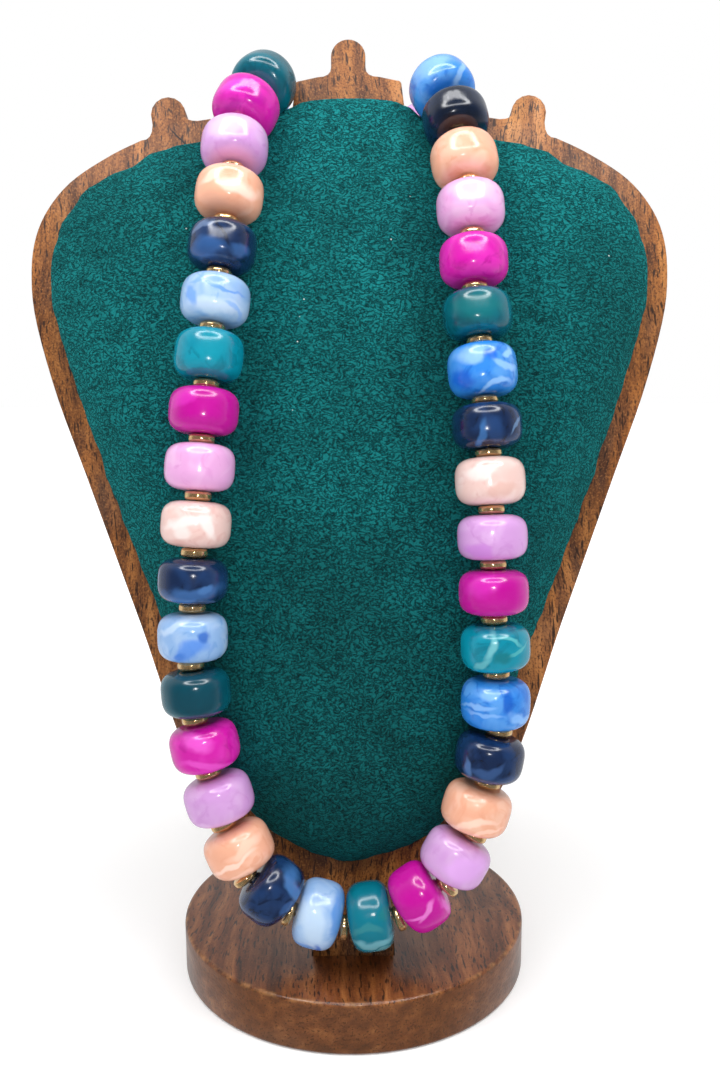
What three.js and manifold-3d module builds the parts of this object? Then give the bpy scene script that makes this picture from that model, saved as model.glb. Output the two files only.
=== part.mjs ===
// A string of large resin beads with gold spacer rings, laid on its padded display board.
// Millimetres, +Z up, the front faces -Y. The origin is the centre of the base's underside.

import * as THREE from 'three';
import { mergeVertices } from 'three/addons/utils/BufferGeometryUtils.js';
import Module from 'manifold-3d';

const wasm = await Module();
wasm.setup();

// Stand
const BASE_DIAMETER = 110;
const BASE_THICKNESS = 16;
const BASE_EDGE = 1.2;
const BASE_SIDES = 40;
const BOARD_THICKNESS = 9;
const BOARD_LEAN = 12;
const BOARD_HALF_WIDTH = 99;
const BOARD_HEIGHT = 270;
const BOARD_FRONT_OFFSET = -30;
const TAB_WIDTH = 24.5;
const TAB_DEPTH = 10;
const SLOT_CLEARANCE = 0.3;
const KNOB_RADIUS = 5.4;
const KNOB_NECK_RADIUS = 4.9;
const KNOB_NECK_LENGTH = 3.4;
const KNOB_FOOT = 4.3;
const CURVE_STEPS = 4;
const SIDE_KNOB_PLACE = 56.5;
const SIDE_KNOB_DROP = 4.9;
const CENTRE_KNOB_RISE = 13.2;
const CENTRE_BLOCK_HALF_WIDTH = 16.7;
const CENTRE_BLOCK_FLARE = 1.1;
const CENTRE_BLOCK_CORNER = 1.5;
const CENTRE_BLOCK_RISE = 1.2;
const NOTCH_DEPTH = 15.2;
const NOTCH_CORNER = 4.2;
const NOTCH_LIP_DEPTH = 12.5;
const NOTCH_LIP_RISE = 0.6;
const NOTCH_LIP_WIDTH = 4;
const NOTCH_DIP_WIDTH = 17;

// Pad
const PAD_THICKNESS = 19.2;
const PAD_EDGE = 1.8;
const PAD_SEAT = 0.3;
const PAD_CENTRE = 0.555;
const PAD_SIDES = 40;
const PAD_FLATNESS = 2.6;
const PAD_LOOPS = [0, 0.22, 0.45, 0.68, 0.85, 0.94, 0.985, 1];

// String of beads
const BEAD_RADIUS = 9.9;
const BEAD_LENGTH = 13.2;
const RING_GAP = 2.6;
const BEAD_BORE_RADIUS = 1.2;
const BEAD_SIDES = 12;
const THREAD_RADIUS = 0.5;
const THREAD_SIDES = 5;
const RING_RADIUS = 3.8;
const RING_FACE_RADIUS = 2.8;
const RING_SIDES = 10;
const RING_CLEARANCE = 0.3;
const RING_SLIDE = 2.3;
const RING_SLIDE_PER_DEGREE = 0.16;
const KNOT_RADIUS = 0.9;

// Clasp
const CLASP_LENGTH = 17;
const CLASP_RADIUS = 4;
const CLASP_END_RADIUS = 2.4;
const CLASP_BORE_RADIUS = 1.3;
const CLASP_BORE_DEPTH = 4;
const CLASP_SIDES = 14;

// Outline of one side of the board above its tab: shares of the half width and of the height.
const BOARD_SIDE = [
  { across: 0.13, up: 0.081 },
  { across: 0.26, up: 0.103 },
  { across: 0.385, up: 0.148 },
  { across: 0.465, up: 0.188 },
  { across: 0.545, up: 0.256 },
  { across: 0.638, up: 0.356 },
  { across: 0.73, up: 0.448 },
  { across: 0.823, up: 0.54 },
  { across: 0.917, up: 0.633 },
  { across: 0.985, up: 0.721 },
  { across: 1.0, up: 0.776 },
  { across: 0.987, up: 0.818 },
  { across: 0.945, up: 0.853 },
  { across: 0.87, up: 0.885 },
  { across: 0.75, up: 0.914 },
  { across: 0.655, up: 0.931 },
];

// Outline of one side of the pad, bottom to top: shares of the board's half width and height.
const PAD_SIDE = [
  { across: 0, up: 0.108 },
  { across: 0.14, up: 0.113 },
  { across: 0.245, up: 0.136 },
  { across: 0.36, up: 0.182 },
  { across: 0.45, up: 0.248 },
  { across: 0.53, up: 0.33 },
  { across: 0.605, up: 0.4 },
  { across: 0.73, up: 0.519 },
  { across: 0.81, up: 0.6 },
  { across: 0.87, up: 0.667 },
  { across: 0.915, up: 0.73 },
  { across: 0.923, up: 0.775 },
  { across: 0.895, up: 0.818 },
  { across: 0.81, up: 0.856 },
  { across: 0.67, up: 0.888 },
  { across: 0.5, up: 0.909 },
  { across: 0.32, up: 0.927 },
  { across: 0.24, up: 0.941 },
  { across: 0.16, up: 0.958 },
  { across: 0.09, up: 0.968 },
  { across: 0, up: 0.972 },
];

// Crown of the pad, bottom to top: heights as shares of the board's, thicknesses of the pad's.
const PAD_CROWN = [
  { up: 0.1, thick: 0.54 },
  { up: 0.16, thick: 0.76 },
  { up: 0.24, thick: 0.95 },
  { up: 0.36, thick: 1.03 },
  { up: 0.6, thick: 0.98 },
  { up: 0.72, thick: 0.87 },
  { up: 0.84, thick: 0.7 },
  { up: 0.93, thick: 0.43 },
  { up: 1, thick: 0.26 },
];

// Half of a bead's profile, from its end face to its middle: shares of radius and half length.
const BEAD_PROFILE = [
  { out: 0.46, along: 1 },
  { out: 0.84, along: 0.86 },
  { out: 1, along: 0.38 },
];

// Beads of one side, from the bottom of the loop up and over the board: finish, and shares of the
// usual bead length and of the usual gap before a bead, which the ring fills. The row with no
// finish is bare thread over the notch.
const LEFT_BEADS = [
  { finish: 'skyBlue', long: 1.00, gap: 1.00 },
  { finish: 'navy', long: 1.00, gap: 0.96 },
  { finish: 'peach', long: 1.02, gap: 1.08 },
  { finish: 'lilac', long: 1.00, gap: 1.04 },
  { finish: 'magenta', long: 1.01, gap: 1.00 },
  { finish: 'darkTeal', long: 0.99, gap: 1.04 },
  { finish: 'skyBlue', long: 1.03, gap: 1.04 },
  { finish: 'navy', long: 0.96, gap: 1.08 },
  { finish: 'blush', long: 0.99, gap: 1.19 },
  { finish: 'pink', long: 1.01, gap: 1.15 },
  { finish: 'magenta', long: 0.99, gap: 1.00 },
  { finish: 'teal', long: 1.06, gap: 0.96 },
  { finish: 'skyBlue', long: 1.02, gap: 0.96 },
  { finish: 'navy', long: 1.00, gap: 1.08 },
  { finish: 'peach', long: 1.02, gap: 1.12 },
  { finish: 'lilac', long: 1.01, gap: 1.08 },
  { finish: 'magenta', long: 0.98, gap: 1.00 },
  { finish: 'darkTeal', long: 0.98, gap: 0.96 },
  { finish: null, long: 0.80, gap: 0.96 },
  { finish: 'blue', long: 1.00, gap: 0.96 },
  { finish: 'pink', long: 1.00, gap: 1.15 },
  { finish: 'navy', long: 1.00, gap: 1.00 },
];
const RIGHT_BEADS = [
  { finish: 'darkTeal', long: 0.97, gap: 1.00 },
  { finish: 'magenta', long: 1.01, gap: 1.12 },
  { finish: 'lilac', long: 1.02, gap: 1.08 },
  { finish: 'peach', long: 1.01, gap: 1.00 },
  { finish: 'navy', long: 0.99, gap: 0.96 },
  { finish: 'blue', long: 1.07, gap: 0.92 },
  { finish: 'teal', long: 1.00, gap: 0.92 },
  { finish: 'magenta', long: 0.97, gap: 1.00 },
  { finish: 'lilac', long: 0.97, gap: 1.08 },
  { finish: 'blush', long: 1.02, gap: 1.04 },
  { finish: 'navy', long: 0.95, gap: 0.92 },
  { finish: 'blue', long: 1.11, gap: 0.92 },
  { finish: 'darkTeal', long: 1.00, gap: 0.92 },
  { finish: 'magenta', long: 1.02, gap: 1.04 },
  { finish: 'pink', long: 1.02, gap: 1.08 },
  { finish: 'peach', long: 1.01, gap: 1.08 },
  { finish: 'navy', long: 0.98, gap: 1.00 },
  { finish: 'blue', long: 0.98, gap: 0.96 },
  { finish: null, long: 0.80, gap: 0.96 },
  { finish: 'lilac', long: 0.98, gap: 1.04 },
  { finish: 'peach', long: 1.00, gap: 1.23 },
  { finish: 'teal', long: 1.00, gap: 1.00 },
];

// Route of the thread, chosen by hand: each side runs from the bottom of the loop, up the pad,
// over its notch in the board and down behind.
const THREAD_ROUTE = {
  left: [
    [-2.5, -39.5, 32.8],
    [-17.3, -39.7, 37.0],
    [-29.3, -39.4, 47.6],
    [-35.9, -37.7, 62.0],
    [-43.6, -35.6, 93.2],
    [-44.8, -33.2, 124.3],
    [-42.8, -28.9, 156.7],
    [-40.5, -22.1, 187.9],
    [-37.3, -13.1, 218.3],
    [-33.7, -2.3, 249.0],
    [-33.3, 5.2, 262.0],
    [-28.2, 14.2, 274.1],
    [-24.2, 27.4, 280.8],
    [-24.6, 39.3, 272.8],
    [-22.7, 46.2, 259.5],
    [-19.4, 46.8, 244.1],
    [-11.5, 46.8, 231.4],
  ],
  right: [
    [-2.5, -39.5, 32.8],
    [12.9, -39.5, 35.4],
    [25.9, -38.9, 44.5],
    [33.4, -37.4, 57.9],
    [41.1, -35.5, 90.2],
    [40.6, -33.8, 121.3],
    [39.9, -29.8, 152.5],
    [38.4, -23.5, 182.6],
    [36.2, -14.6, 212.9],
    [35.2, -3.8, 243.6],
    [33.3, 4.3, 257.7],
    [31.1, 13.4, 270.8],
    [26.6, 24.5, 280.0],
    [27.2, 38.7, 273.4],
    [25.6, 45.7, 259.5],
    [22.9, 47.6, 244.1],
    [16.0, 47.0, 232.8],
  ],
};
const CLASP_PLACE = new THREE.Vector3(1.75, 46.8, 225);

const FINISHES = {
  skyBlue: { color: 0xb4cbec, roughness: 0.12 },
  navy: { color: 0x14295a, roughness: 0.1 },
  peach: { color: 0xf0a98c, roughness: 0.14 },
  lilac: { color: 0xd69ade, roughness: 0.14 },
  magenta: { color: 0xd212ae, roughness: 0.12 },
  darkTeal: { color: 0x0f5c68, roughness: 0.1 },
  blush: { color: 0xf1dad4, roughness: 0.14 },
  pink: { color: 0xedb2e2, roughness: 0.14 },
  teal: { color: 0x0e9fb2, roughness: 0.1 },
  blue: { color: 0x3f8fe0, roughness: 0.12 },
  gold: { color: 0xe0b565, roughness: 0.2, metalness: 1 },
  walnut: { color: 0x8a5c3a, roughness: 0.5 },
  velvet: { color: 0x14584f, roughness: 0.95 },
};

const materials = {};
for (const [name, finish] of Object.entries(FINISHES)) {
  materials[name] = new THREE.MeshStandardMaterial({ metalness: 0, ...finish, name });
}

// Closed three.js geometry to a solid, and back.
function toSolid(geometry) {
  const bare = geometry.clone();
  bare.deleteAttribute('normal');
  bare.deleteAttribute('uv');
  const merged = mergeVertices(bare, 1e-4);
  const mesh = new wasm.Mesh({
    numProp: 3,
    vertProperties: new Float32Array(merged.attributes.position.array),
    triVerts: new Uint32Array(merged.index.array),
  });
  return new wasm.Manifold(mesh);
}

function toGeometry(solid) {
  const mesh = solid.getMesh();
  const geometry = new THREE.BufferGeometry();
  geometry.setAttribute('position', new THREE.BufferAttribute(mesh.vertProperties, 3));
  geometry.setIndex(new THREE.BufferAttribute(mesh.triVerts, 1));
  geometry.computeVertexNormals();
  return geometry;
}

function turned(profile, sides) {
  return new THREE.LatheGeometry(profile.map(([out, up]) => new THREE.Vector2(out, up)), sides);
}

function piece(name, geometry, material) {
  const mesh = new THREE.Mesh(geometry, materials[material]);
  mesh.name = name;
  return mesh;
}

// The board's frame: X across, Y into the board from its front face, Z up along it.
const boardFrame = new THREE.Group();
boardFrame.position.set(0, BOARD_FRONT_OFFSET, BASE_THICKNESS);
boardFrame.rotation.x = -THREE.MathUtils.degToRad(BOARD_LEAN);
boardFrame.updateMatrix();

// Base: a round foot with a slot that takes the board's tab.
function baseGeometry() {
  const radius = BASE_DIAMETER / 2;
  const disc = turned([
    [0, 0],
    [radius - BASE_EDGE, 0],
    [radius, BASE_EDGE],
    [radius, BASE_THICKNESS - BASE_EDGE],
    [radius - BASE_EDGE, BASE_THICKNESS],
    [0, BASE_THICKNESS],
  ], BASE_SIDES);
  disc.rotateX(Math.PI / 2);
  const slot = new THREE.BoxGeometry(
    TAB_WIDTH + 2 * SLOT_CLEARANCE,
    BOARD_THICKNESS + 2 * SLOT_CLEARANCE,
    2 * (TAB_DEPTH + SLOT_CLEARANCE),
  );
  slot.translate(0, BOARD_THICKNESS / 2, 0);
  slot.applyMatrix4(boardFrame.matrix);
  return toGeometry(toSolid(disc).subtract(toSolid(slot)));
}

// Board: one outline with its tab, side knobs, notches and centre knob, extruded to a plate.
function boardRightSide() {
  const shoulder = BOARD_SIDE.map(({ across, up }) => (
    new THREE.Vector2(across * BOARD_HALF_WIDTH, up * BOARD_HEIGHT)
  ));
  const knobMiddle = BOARD_HEIGHT - SIDE_KNOB_DROP - KNOB_RADIUS;
  const centreKnobMiddle = BOARD_HEIGHT + CENTRE_KNOB_RISE - KNOB_RADIUS;
  const outerNeck = SIDE_KNOB_PLACE + KNOB_NECK_RADIUS;
  const innerNeck = SIDE_KNOB_PLACE - KNOB_NECK_RADIUS;
  const notchFloor = BOARD_HEIGHT - NOTCH_DEPTH;
  const notchLip = BOARD_HEIGHT - NOTCH_LIP_DEPTH;
  const lip = innerNeck - KNOB_FOOT;
  const blockFoot = CENTRE_BLOCK_HALF_WIDTH + CENTRE_BLOCK_FLARE;
  const blockTop = CENTRE_BLOCK_HALF_WIDTH - CENTRE_BLOCK_CORNER;

  const side = new THREE.Path();
  side.moveTo(TAB_WIDTH / 2, -TAB_DEPTH);
  side.lineTo(TAB_WIDTH / 2, shoulder[0].y);
  side.lineTo(shoulder[0].x, shoulder[0].y);
  side.splineThru(shoulder.slice(1));
  side.quadraticCurveTo(outerNeck, shoulder.at(-1).y, outerNeck, knobMiddle - KNOB_NECK_LENGTH);
  side.absarc(SIDE_KNOB_PLACE, knobMiddle, KNOB_RADIUS, 0, Math.PI, false);
  side.quadraticCurveTo(innerNeck, notchLip, lip, notchLip);
  side.lineTo(lip - NOTCH_LIP_WIDTH, notchLip + NOTCH_LIP_RISE);
  side.lineTo(CENTRE_BLOCK_HALF_WIDTH + NOTCH_DIP_WIDTH, notchFloor);
  side.lineTo(blockFoot + NOTCH_CORNER, notchFloor);
  side.quadraticCurveTo(blockFoot, notchFloor, blockFoot, notchFloor + NOTCH_CORNER);
  side.lineTo(CENTRE_BLOCK_HALF_WIDTH, BOARD_HEIGHT - CENTRE_BLOCK_CORNER);
  side.quadraticCurveTo(CENTRE_BLOCK_HALF_WIDTH, BOARD_HEIGHT, blockTop, BOARD_HEIGHT);
  side.lineTo(KNOB_RADIUS + KNOB_FOOT, BOARD_HEIGHT + CENTRE_BLOCK_RISE);
  side.quadraticCurveTo(
    KNOB_RADIUS,
    BOARD_HEIGHT + CENTRE_BLOCK_RISE,
    KNOB_RADIUS,
    centreKnobMiddle - KNOB_NECK_LENGTH,
  );
  side.absarc(0, centreKnobMiddle, KNOB_RADIUS, 0, Math.PI / 2, false);
  return side.getPoints(CURVE_STEPS);
}

function boardGeometry() {
  const right = boardRightSide();
  const left = right.slice(0, -1).reverse().map(({ x, y }) => new THREE.Vector2(-x, y));
  const plate = new THREE.ExtrudeGeometry(new THREE.Shape([...right, ...left]), {
    depth: BOARD_THICKNESS,
    bevelEnabled: false,
  });
  plate.rotateX(Math.PI / 2);
  plate.translate(0, BOARD_THICKNESS, 0);
  return plate;
}

// Pad: a turned dome whose rings are stretched from a circle to the pad's outline.
function padOutline() {
  const right = PAD_SIDE.map(({ across, up }) => (
    new THREE.Vector3(across * BOARD_HALF_WIDTH, 0, up * BOARD_HEIGHT)
  ));
  const left = right.slice(1, -1).reverse().map(({ x, z }) => new THREE.Vector3(-x, 0, z));
  return new THREE.CatmullRomCurve3([...right, ...left], true).getSpacedPoints(PAD_SIDES);
}

function padHeight(share, up) {
  const height = up / BOARD_HEIGHT;
  const row = Math.max(1, PAD_CROWN.findIndex((section) => section.up >= height));
  const [low, high] = [PAD_CROWN[row - 1], PAD_CROWN[row]];
  const crown = THREE.MathUtils.mapLinear(height, low.up, high.up, low.thick, high.thick);
  const dome = Math.sqrt(1 - share ** PAD_FLATNESS);
  return PAD_EDGE + (PAD_THICKNESS * crown - PAD_EDGE) * dome;
}

function padGeometry() {
  const outline = padOutline();
  const centre = new THREE.Vector3(0, 0, PAD_CENTRE * BOARD_HEIGHT);
  const loops = [...PAD_LOOPS].reverse();
  const profile = [[0, 0], [1, 0], ...loops.map((share) => [share, 1])];
  const dome = turned(profile, PAD_SIDES);
  const place = dome.attributes.position;
  for (let turn = 0; turn <= PAD_SIDES; turn += 1) {
    const rim = outline[turn % PAD_SIDES];
    profile.forEach(([share, front], row) => {
      const point = centre.clone().lerp(rim, share);
      point.y = -PAD_SEAT - front * padHeight(share, point.z);
      place.setXYZ(turn * profile.length + row, point.x, point.y, point.z);
    });
  }
  return toGeometry(toSolid(dome));
}

// Beads: each lies between two stops of the thread, and each stop holds one ring.
function beadGeometry(length) {
  const half = BEAD_PROFILE.map(({ out, along }) => [out * BEAD_RADIUS, (along * length) / 2]);
  const below = half.map(([out, along]) => [out, -along]);
  return turned([
    [BEAD_BORE_RADIUS, -length / 2],
    ...below,
    ...half.reverse(),
    [BEAD_BORE_RADIUS, length / 2],
    [BEAD_BORE_RADIUS, -length / 2],
  ], BEAD_SIDES);
}

function strand(route, rows) {
  const curve = new THREE.CatmullRomCurve3(route.map((point) => new THREE.Vector3(...point)));
  curve.arcLengthDivisions = 600;
  const gaps = [...rows, rows.at(-1)].map((row) => row.gap * RING_GAP);
  const runs = [0];
  rows.forEach((row, i) => {
    runs.push(runs[i] + gaps[i] / 2 + row.long * BEAD_LENGTH + gaps[i + 1] / 2);
  });
  const length = runs.at(-1);
  return runs.map((run, i) => ({ point: curve.getPointAt(run / length), gap: gaps[i] }));
}

function beadPieces(side, rows, stops) {
  const pieces = [];
  rows.forEach((row, i) => {
    if (!row.finish) return;
    const number = String(pieces.length + 1).padStart(2, '0');
    const bead = piece(`bead_${side}_${number}`, beadGeometry(row.long * BEAD_LENGTH), row.finish);
    const along = stops[i + 1].point.clone().sub(stops[i].point).normalize();
    bead.position.copy(stops[i].point).lerp(stops[i + 1].point, 0.5);
    bead.quaternion.setFromUnitVectors(new THREE.Vector3(0, 1, 0), along);
    pieces.push(bead);
  });
  return pieces;
}

// String: straight runs of thread between the stops, with a ring at each, in one solid. Where the
// string bends, its rings slide outwards on the slack thread.
function threadRun(from, to) {
  const along = to.clone().sub(from);
  const run = new THREE.CylinderGeometry(
    THREAD_RADIUS,
    THREAD_RADIUS,
    along.length(),
    THREAD_SIDES,
  );
  const turn = new THREE.Quaternion();
  turn.setFromUnitVectors(new THREE.Vector3(0, 1, 0), along.normalize());
  run.applyQuaternion(turn);
  const middle = from.clone().lerp(to, 0.5);
  run.translate(middle.x, middle.y, middle.z);
  return toSolid(run);
}

function ring(before, stop, after) {
  const arriving = stop.point.clone().sub(before).normalize();
  const leaving = after.clone().sub(stop.point).normalize();
  const bend = THREE.MathUtils.radToDeg(arriving.angleTo(leaving));
  const slide = Math.min(RING_SLIDE, bend * RING_SLIDE_PER_DEGREE);
  const outward = arriving.clone().sub(leaving).normalize();
  const half = stop.gap / 2 - RING_CLEARANCE;
  const disc = turned([
    [0, -half],
    [RING_FACE_RADIUS, -half],
    [RING_RADIUS, 0],
    [RING_FACE_RADIUS, half],
    [0, half],
  ], RING_SIDES);
  const turn = new THREE.Quaternion();
  turn.setFromUnitVectors(new THREE.Vector3(0, 1, 0), arriving.add(leaving).normalize());
  disc.applyQuaternion(turn);
  const place = stop.point.clone().addScaledVector(outward, slide);
  disc.translate(place.x, place.y, place.z);
  return toSolid(disc);
}

// The thread leaves the last ring, is knotted at the clasp's mouth and ends inside its bore.
function threadEnd(last, side) {
  const mouth = new THREE.Vector3(side * (CLASP_LENGTH / 2 + KNOT_RADIUS + RING_CLEARANCE), 0, 0);
  const inside = new THREE.Vector3(side * (CLASP_LENGTH / 2 - CLASP_BORE_DEPTH / 2), 0, 0);
  mouth.add(CLASP_PLACE);
  inside.add(CLASP_PLACE);
  const knot = new THREE.SphereGeometry(KNOT_RADIUS, THREAD_SIDES, 4);
  knot.translate(mouth.x, mouth.y, mouth.z);
  return { mouth, solids: [threadRun(last, mouth), toSolid(knot), threadRun(mouth, inside)] };
}

function stringGeometry(leftStops, rightStops) {
  const stops = [...leftStops.slice(1).reverse(), ...rightStops];
  const leftEnd = threadEnd(stops[0].point, -1);
  const rightEnd = threadEnd(stops.at(-1).point, 1);
  const solids = [...leftEnd.solids, ...rightEnd.solids];
  stops.forEach((stop, i) => {
    const before = i ? stops[i - 1].point : leftEnd.mouth;
    const after = i < stops.length - 1 ? stops[i + 1].point : rightEnd.mouth;
    solids.push(ring(before, stop, after));
    if (i < stops.length - 1) solids.push(threadRun(stop.point, after));
  });
  return toGeometry(wasm.Manifold.union(solids));
}

// Clasp: a plain barrel with a blind bore in each end for the thread.
function claspGeometry() {
  const half = CLASP_LENGTH / 2;
  const shoulder = half - (CLASP_RADIUS - CLASP_END_RADIUS);
  const barrel = turned([
    [0, CLASP_BORE_DEPTH - half],
    [CLASP_BORE_RADIUS, CLASP_BORE_DEPTH - half],
    [CLASP_BORE_RADIUS, -half],
    [CLASP_END_RADIUS, -half],
    [CLASP_RADIUS, -shoulder],
    [CLASP_RADIUS, shoulder],
    [CLASP_END_RADIUS, half],
    [CLASP_BORE_RADIUS, half],
    [CLASP_BORE_RADIUS, half - CLASP_BORE_DEPTH],
    [0, half - CLASP_BORE_DEPTH],
  ], CLASP_SIDES);
  barrel.rotateZ(Math.PI / 2);
  return barrel;
}

const leftStops = strand(THREAD_ROUTE.left, LEFT_BEADS);
const rightStops = strand(THREAD_ROUTE.right, RIGHT_BEADS);

const necklace = new THREE.Group();
necklace.add(...beadPieces('left', LEFT_BEADS, leftStops));
necklace.add(...beadPieces('right', RIGHT_BEADS, rightStops));
necklace.add(piece('string_and_rings', stringGeometry(leftStops, rightStops), 'gold'));
const clasp = piece('clasp', claspGeometry(), 'gold');
clasp.position.copy(CLASP_PLACE);
necklace.add(clasp);

const stand = new THREE.Group();
stand.add(piece('base', baseGeometry(), 'walnut'));
boardFrame.add(piece('board', boardGeometry(), 'walnut'));
boardFrame.add(piece('velvet_pad', padGeometry(), 'velvet'));
stand.add(boardFrame);

const object = new THREE.Group();
object.add(stand, necklace);

export default object;
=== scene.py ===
import math

import bpy
import numpy as np
from mathutils import Matrix, Vector


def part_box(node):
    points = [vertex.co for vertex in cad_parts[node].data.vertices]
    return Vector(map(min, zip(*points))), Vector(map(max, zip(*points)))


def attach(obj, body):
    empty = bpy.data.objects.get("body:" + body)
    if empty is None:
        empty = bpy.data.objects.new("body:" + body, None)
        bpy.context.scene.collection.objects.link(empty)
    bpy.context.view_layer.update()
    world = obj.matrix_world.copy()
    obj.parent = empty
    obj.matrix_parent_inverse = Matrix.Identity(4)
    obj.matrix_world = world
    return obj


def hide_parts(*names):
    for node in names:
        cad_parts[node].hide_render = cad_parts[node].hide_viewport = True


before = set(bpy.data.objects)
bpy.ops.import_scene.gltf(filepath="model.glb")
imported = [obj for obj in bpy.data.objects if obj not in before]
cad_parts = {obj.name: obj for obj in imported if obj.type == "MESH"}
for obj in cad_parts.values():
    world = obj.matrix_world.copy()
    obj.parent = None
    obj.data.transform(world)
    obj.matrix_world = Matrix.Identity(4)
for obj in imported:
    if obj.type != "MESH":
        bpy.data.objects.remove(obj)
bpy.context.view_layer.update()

# Camera
# Close in front of the stand, a little above its middle, looking slightly down. The long side of
# the picture is 1073 pixels, and the lens is 1070 of them.
bpy.ops.object.camera_add(location=(0.0028, -0.3283, 0.1954))
camera = bpy.context.object
tilt = Matrix.Rotation(math.radians(80.34), 3, "X") @ Matrix.Rotation(-0.006, 3, "Z")
camera.rotation_euler = tilt.to_euler()
camera.data.sensor_width = 36
camera.data.lens = 36 * 1070 / 1073
camera.data.clip_start = 0.01
bpy.context.scene.camera = camera


# Foot
# A disc of walnut 110 mm across and 16 mm thick, turned, stained dark and varnished, its edges
# just broken. A slot cut through its top face takes the board's tab.
def paint(code):
    parts = [int(code[i:i + 2], 16) / 255 for i in (0, 2, 4)]
    linear = [c / 12.92 if c <= 0.04045 else ((c + 0.055) / 1.055) ** 2.4 for c in parts]
    return (*linear, 1.0)


def new_finish(name):
    finish = bpy.data.materials.new(name)
    finish.use_nodes = True
    return finish


def add(finish, kind, inputs=None, **settings):
    made = finish.node_tree.nodes.new("ShaderNode" + kind)
    for key, value in settings.items():
        setattr(made, key, value)
    for key, value in (inputs or {}).items():
        if isinstance(value, bpy.types.NodeSocket):
            finish.node_tree.links.new(value, made.inputs[key])
        else:
            made.inputs[key].default_value = value
    return made


def shades(finish, fac, stops, smooth=False):
    ramp = add(finish, "ValToRGB", {0: fac})
    ramp.color_ramp.interpolation = "EASE" if smooth else "LINEAR"
    while len(ramp.color_ramp.elements) < len(stops):
        ramp.color_ramp.elements.new(0.5)
    for stop, (place, colour) in zip(ramp.color_ramp.elements, stops):
        stop.position = place
        stop.color = colour if isinstance(colour, tuple) else (colour, colour, colour, 1)
    return ramp.outputs["Color"]


def mixed(finish, fac, first, second, how="MIX"):
    mix = add(finish, "Mix", {0: fac, 6: first, 7: second}, data_type="RGBA", blend_type=how)
    return mix.outputs[2]


def surface(finish, inputs):
    shader = finish.node_tree.nodes["Principled BSDF"]
    for key, value in inputs.items():
        if isinstance(value, bpy.types.NodeSocket):
            finish.node_tree.links.new(value, shader.inputs[key])
        else:
            shader.inputs[key].default_value = value


def walnut(name, turn, gloss, varnish, speckle, tones, marks):
    """Stained walnut, its grain along Z once turned. The four tones run from dark to light, and
    marks adds what is on one piece only."""
    finish = new_finish(name)
    place = add(finish, "TexCoord").outputs["Object"]
    along = add(finish, "Mapping", {"Vector": place, "Rotation": turn}).outputs["Vector"]
    sway = add(finish, "TexNoise", {"Vector": along, "Scale": 16.0, "Detail": 2.0})
    bent = add(finish, "VectorMath", {0: sway.outputs["Color"], "Scale": 0.016}, operation="SCALE")
    grain = add(finish, "VectorMath", {0: along, 1: bent.outputs[0]}).outputs[0]

    def figure(scale, squeeze, detail, roughness=0.5):
        squeezed = add(finish, "Mapping", {"Vector": grain, "Scale": (1.0, 1.0, squeeze)})
        return add(finish, "TexNoise", {
            "Vector": squeezed.outputs[0], "Scale": scale, "Detail": detail,
            "Roughness": roughness}).outputs[0]

    streaks = figure(260.0, 0.09, 4.0, 0.6)
    bands = figure(70.0, 0.12, 2.0)
    pores = figure(1500.0, 0.16, 1.0)
    specks = figure(1900.0, 0.8, 2.0)
    painted_sheen = figure(42.0, 0.7, 3.0)
    tone = shades(finish, streaks, list(zip((0.28, 0.43, 0.57, 0.74), map(paint, tones))))
    tone = mixed(finish, 0.7, tone, shades(finish, bands, [(0.36, 0.5), (0.60, 1.0)]), "MULTIPLY")
    # Painted sheen: greyish patches laid over the wood's tone.
    tone = mixed(finish, shades(finish, painted_sheen, [(0.54, 0.0), (0.72, 0.22)]), tone, paint("947a66"))
    dark_specks = shades(finish, specks, [(0.35, speckle), (0.47, 0.0)])
    tone = mixed(finish, dark_specks, tone, paint(tones[0]))
    light_specks = shades(finish, specks, [(0.56, 0.0), (0.70, speckle / 2)])
    tone = mixed(finish, light_specks, tone, paint(tones[3]))
    tone = mixed(finish, shades(finish, pores, [(0.33, 0.9), (0.42, 0.0)]), tone, paint("241108"))
    relief = mixed(finish, 0.5, streaks, pores)
    surface(finish, {
        "Base Color": marks(finish, place, tone),
        "Roughness": shades(finish, streaks, [(0.3, gloss + 0.12), (0.7, gloss)]),
        "Specular IOR Level": 0.4,
        "Coat Weight": varnish,
        "Coat Roughness": 0.2,
        "Normal": add(finish, "Bump", {
            "Height": relief, "Strength": 0.3, "Distance": 0.0005}).outputs[0],
    })
    return finish


def apply_modifiers(piece):
    bpy.context.view_layer.objects.active = piece
    for modifier in list(piece.modifiers):
        bpy.ops.object.modifier_apply(modifier=modifier.name)


foot_radius, foot_thickness, edge_break = 0.055, 0.016, 0.0012
slot_width, slot_length, slot_depth = 0.0252, 0.0098, 0.0103
board_thickness, board_front, board_lean = 0.009, -0.030, math.radians(12)
# How far in from the foot's side, and how far below its top, the lighter rim line starts and is at
# its full: rubbed-off stain and a painted highlight on the edge.
wear_and_highlight_inwards, wear_and_highlight_downwards = (0.0016, 0.0006), (0.0013, 0.0004)


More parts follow.
